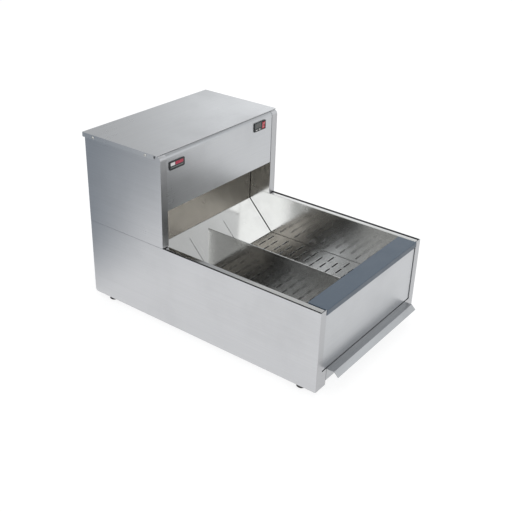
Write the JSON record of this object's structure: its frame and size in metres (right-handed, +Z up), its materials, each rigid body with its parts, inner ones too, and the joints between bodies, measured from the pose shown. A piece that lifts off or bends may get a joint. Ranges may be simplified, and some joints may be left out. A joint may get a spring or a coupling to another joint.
{
  "type": "heated food holding station",
  "caption": "Countertop stainless holding station for fried food: a polished bin with a lift-out floor and divider, a rear hood that blows warm air, and a sliding crumb tray.",
  "frame": {"origin": "on the surface the feet stand on, at the centre of the object's box in plan", "axes": "+Z up, -Y towards the front where the crumb tray pulls out, +X to the right of someone facing the front"},
  "size_m": [0.4722, 0.746, 0.467],
  "materials": {
    "brushed_stainless": "fine horizontal brushed grain",
    "polished_stainless": "bright polished",
    "galvanised_steel": "galvanised, dull",
    "zinc_plated_screw": "zinc plated",
    "slate_composite": "satin",
    "foot_rubber": "matte",
    "black_plastic": "satin",
    "badge_enamel": "satin black with plain light and red bars",
    "display_window": "gloss",
    "red_plastic": "satin",
    "button_plastic": "satin",
    "motor_enamel": "satin black",
    "plain_steel": "ground",
    "heater_sheath": "heat-darkened",
    "terminal_plastic": "matte"
  },
  "bodies": {
    "cabinet": {"base_side_panel_left": "brushed_stainless", "base_side_panel_right": "brushed_stainless", "hood_side_panel_left": "brushed_stainless", "hood_side_panel_right": "brushed_stainless", "hood_front_panel": "brushed_stainless", "hood_top_cover": "brushed_stainless", "rear_panel": "brushed_stainless", "front_panel": "brushed_stainless", "bin_back_wall": "polished_stainless", "bin_front_wall": "polished_stainless", "bin_side_wall_left": "polished_stainless", "bin_side_wall_right": "polished_stainless", "rear_chute": "polished_stainless", "hood_mouth_cheek_left": "polished_stainless", "hood_mouth_cheek_right": "polished_stainless", "air_intake_grille": "polished_stainless", "base_pan": "galvanised_steel", "tray_runner_left": "galvanised_steel", "tray_runner_right": "galvanised_steel", "floor_support_left": "galvanised_steel", "floor_support_right": "galvanised_steel", "probe_clip": "galvanised_steel", "air_duct": "galvanised_steel", "blower_housing": "galvanised_steel", "motor_bracket": "galvanised_steel", "element_bracket_left": "galvanised_steel", "element_bracket_right": "galvanised_steel", "cover_screw_left_front": "zinc_plated_screw", "cover_screw_left_rear": "zinc_plated_screw", "cover_screw_right_front": "zinc_plated_screw", "cover_screw_right_rear": "zinc_plated_screw", "foot_screw_front_left": "zinc_plated_screw", "foot_screw_front_right": "zinc_plated_screw", "foot_screw_rear_left": "zinc_plated_screw", "foot_screw_rear_right": "zinc_plated_screw", "front_rail": "slate_composite", "foot_front_left": "foot_rubber", "foot_front_right": "foot_rubber", "foot_rear_left": "foot_rubber", "foot_rear_right": "foot_rubber", "control_bezel": "black_plastic", "controller_housing": "black_plastic", "power_inlet": "black_plastic", "high_limit_thermostat": "black_plastic", "badge_plate": "badge_enamel", "display_lens": "display_window", "blower_motor": "motor_enamel", "temperature_probe": "plain_steel", "heating_element": "heater_sheath", "terminal_block": "terminal_plastic"},
    "crumb_tray": {"crumb_tray_pan": "galvanised_steel", "crumb_tray_handle": "brushed_stainless"},
    "lift_out_floor": {"perforated_bin_floor": "polished_stainless"},
    "lift_out_divider": {"bin_divider": "polished_stainless"},
    "blower_rotor": {"blower_wheel": "galvanised_steel", "motor_shaft": "plain_steel"},
    "rocker_switch": {"power_rocker": "red_plastic"},
    "down_button": {"temperature_down_button": "button_plastic"},
    "up_button": {"temperature_up_button": "button_plastic"}
  },
  "joints": [
    {"name": "crumb_tray_slide", "type": "slide", "parent": "cabinet", "child": "crumb_tray", "axis": [0, -1, 0], "range_m": [0, 0.45]},
    {"name": "floor_lift", "type": "slide", "parent": "cabinet", "child": "lift_out_floor", "axis": [0, 0, 1], "range_m": [0, 0.14]},
    {"name": "divider_lift", "type": "slide", "parent": "lift_out_floor", "child": "lift_out_divider", "axis": [0, 0, 1], "range_m": [0, 0.13]},
    {"name": "rotor_spin", "type": "hinge", "parent": "cabinet", "child": "blower_rotor", "pos_m": [0, 0.274, 0.376], "axis": [1, 0, 0], "continuous": true},
    {"name": "rocker_tilt", "type": "hinge", "parent": "cabinet", "child": "rocker_switch", "pos_m": [0.1675, 0.1187, 0.4395], "axis": [-1, 0, 0], "range_deg": [0, 12]},
    {"name": "down_button_press", "type": "slide", "parent": "cabinet", "child": "down_button", "axis": [0, 1, 0], "range_m": [0, 0.0006], "stiffness_N_per_m": 400},
    {"name": "up_button_press", "type": "slide", "parent": "cabinet", "child": "up_button", "axis": [0, 1, 0], "range_m": [0, 0.0006], "stiffness_N_per_m": 400}
  ]
}
